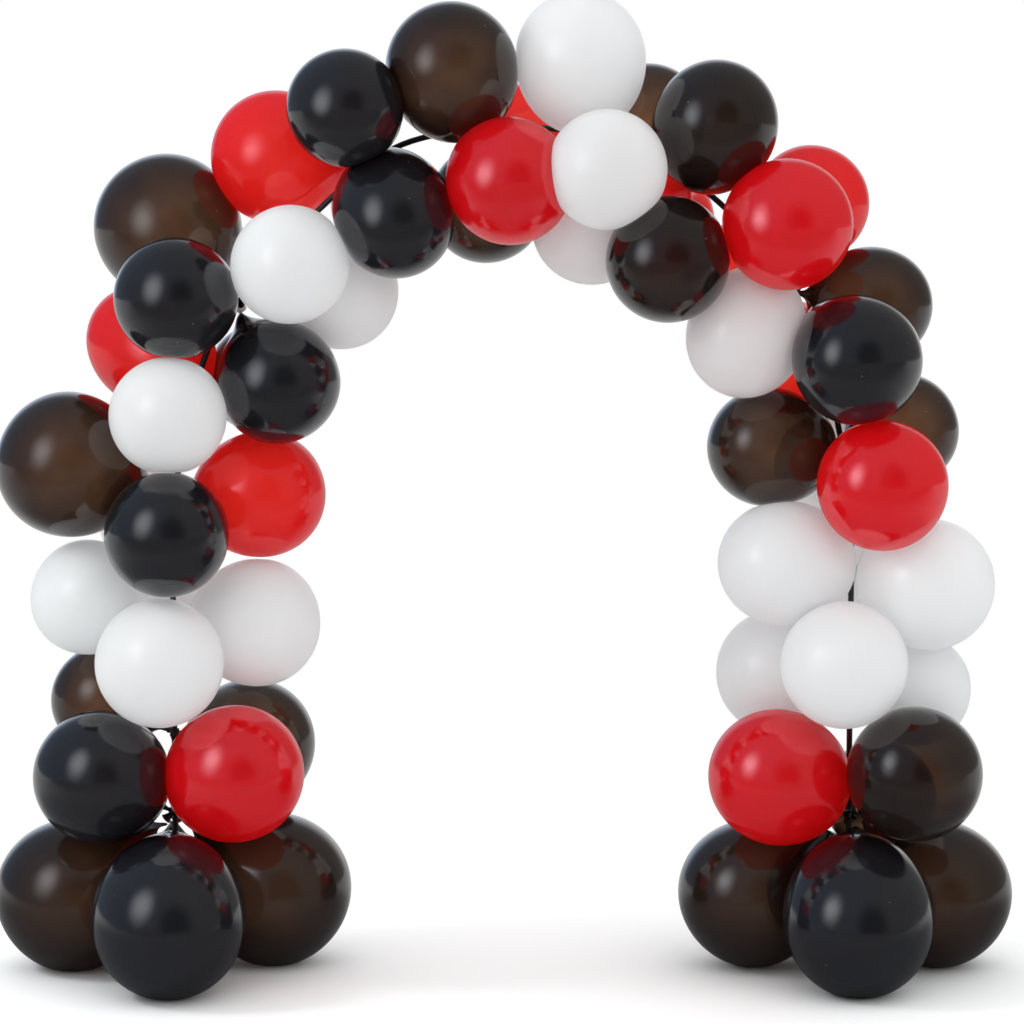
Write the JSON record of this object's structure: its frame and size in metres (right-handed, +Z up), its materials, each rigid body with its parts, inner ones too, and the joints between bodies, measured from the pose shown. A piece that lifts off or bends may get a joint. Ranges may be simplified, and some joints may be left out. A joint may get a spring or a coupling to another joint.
{
  "type": "organic balloon arch and pole frame",
  "caption": "Garland arch of round black, red and white balloons tied in clusters along a slim bent pole that stands on its two ends.",
  "frame": {"origin": "on the floor, at the middle of the footprint of the whole arch with its balloons", "axes": "+X across the arch from the left leg to the right leg, +Z up, -Y towards the front"},
  "size_m": [2.0569, 0.7153, 1.964],
  "materials": {
    "black_latex": "glossy, thin and smoky where light comes through",
    "red_latex": "glossy, translucent",
    "white_latex": "glossy, translucent pearl white",
    "pole_finish": "satin black rod"
  },
  "bodies": {
    "root": {"balloon_01_back": "black_latex", "balloon_01_front": "black_latex", "balloon_01_inner": "black_latex", "balloon_01_outer": "black_latex", "balloon_02_front_inner": "red_latex", "balloon_02_front_outer": "black_latex", "balloon_03_back_inner": "black_latex", "balloon_03_back_outer": "black_latex", "balloon_04_back": "white_latex", "balloon_04_front": "white_latex", "balloon_04_inner": "white_latex", "balloon_04_outer": "white_latex", "balloon_05_back": "white_latex", "balloon_05_front": "black_latex", "balloon_05_inner": "red_latex", "balloon_05_outer": "black_latex", "balloon_06_back_inner": "black_latex", "balloon_06_front": "white_latex", "balloon_06_outer": "red_latex", "balloon_07_front_inner": "white_latex", "balloon_07_front_outer": "black_latex", "balloon_07_inner": "white_latex", "balloon_07_low_inner": "black_latex", "balloon_07_outer": "black_latex", "balloon_08_back_inner": "white_latex", "balloon_08_front_inner": "black_latex", "balloon_08_front_outer": "black_latex", "balloon_08_outer": "red_latex", "balloon_09_back": "red_latex", "balloon_09_front": "red_latex", "balloon_09_inner": "black_latex", "balloon_09_outer": "black_latex", "balloon_10_back": "black_latex", "balloon_10_front": "white_latex", "balloon_10_inner": "white_latex", "balloon_10_outer": "white_latex", "balloon_11_back": "red_latex", "balloon_11_front_inner": "black_latex", "balloon_11_front_outer": "black_latex", "balloon_12_front": "red_latex", "balloon_12_inner": "white_latex", "balloon_12_outer": "red_latex", "balloon_13_front": "black_latex", "balloon_13_outer": "black_latex", "balloon_14_back": "white_latex", "balloon_14_front": "red_latex", "balloon_14_inner": "black_latex", "balloon_14_outer": "black_latex", "balloon_15_front_inner": "white_latex", "balloon_15_front_outer": "white_latex", "balloon_16_back_inner": "white_latex", "balloon_16_front": "white_latex", "balloon_16_outer": "white_latex", "balloon_17_back_outer": "black_latex", "balloon_17_front_inner": "red_latex", "balloon_17_front_outer": "black_latex", "balloon_18_front": "black_latex", "balloon_18_inner": "black_latex", "balloon_18_outer": "black_latex", "pole": "pole_finish"}
  },
  "joints": []
}
